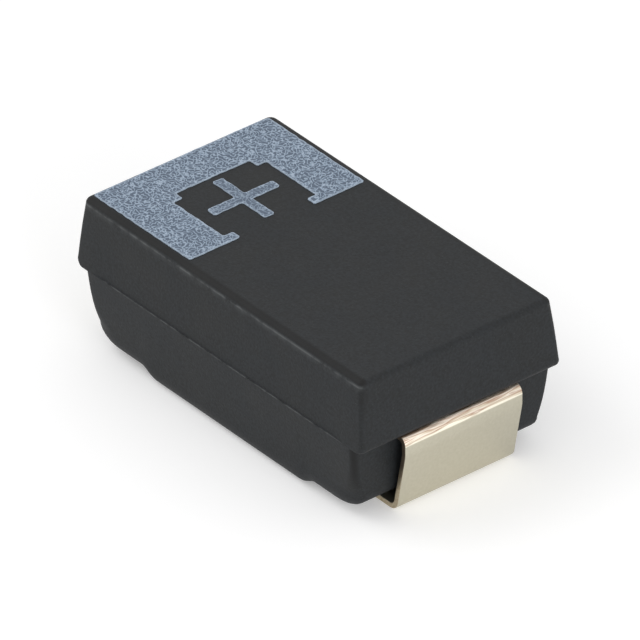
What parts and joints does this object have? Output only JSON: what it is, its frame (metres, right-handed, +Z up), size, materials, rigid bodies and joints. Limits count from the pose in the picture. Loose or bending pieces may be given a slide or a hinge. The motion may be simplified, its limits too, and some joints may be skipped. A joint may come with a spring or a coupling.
{
  "type": "tantalum capacitor",
  "caption": "Moulded tantalum chip capacitor for surface mounting, with a polarity mark on top and bent strip terminals that fold under each end.",
  "frame": {"origin": "on the board surface under the middle of the part, at the height of the two solder faces", "axes": "+X along the case towards the cathode end, -X towards the anode end with the polarity mark, +Z up from the board through the top face"},
  "size_m": [0.0074, 0.0042, 0.0028],
  "materials": {
    "moulding_compound": "matte black moulded epoxy",
    "mark_film": "pale blue grey speckled print",
    "tinned_strip": "satin tin plate on copper alloy",
    "sintered_tantalum": "dark porous metal",
    "tantalum_metal": "drawn wire",
    "washer_plastic": "white fluoropolymer",
    "conductive_polymer": "dark blue black polymer",
    "carbon_coat": "matt carbon",
    "silver_coat": "matt silver paint",
    "silver_glue": "silver filled adhesive"
  },
  "bodies": {
    "root": {"moulded_case": "moulding_compound", "polarity_mark": "mark_film", "anode_terminal": "tinned_strip", "cathode_terminal": "tinned_strip", "tantalum_pellet": "sintered_tantalum", "tantalum_wire": "tantalum_metal", "insulating_washer": "washer_plastic", "polymer_layer": "conductive_polymer", "carbon_layer": "carbon_coat", "silver_layer": "silver_coat", "silver_adhesive": "silver_glue"}
  },
  "joints": []
}
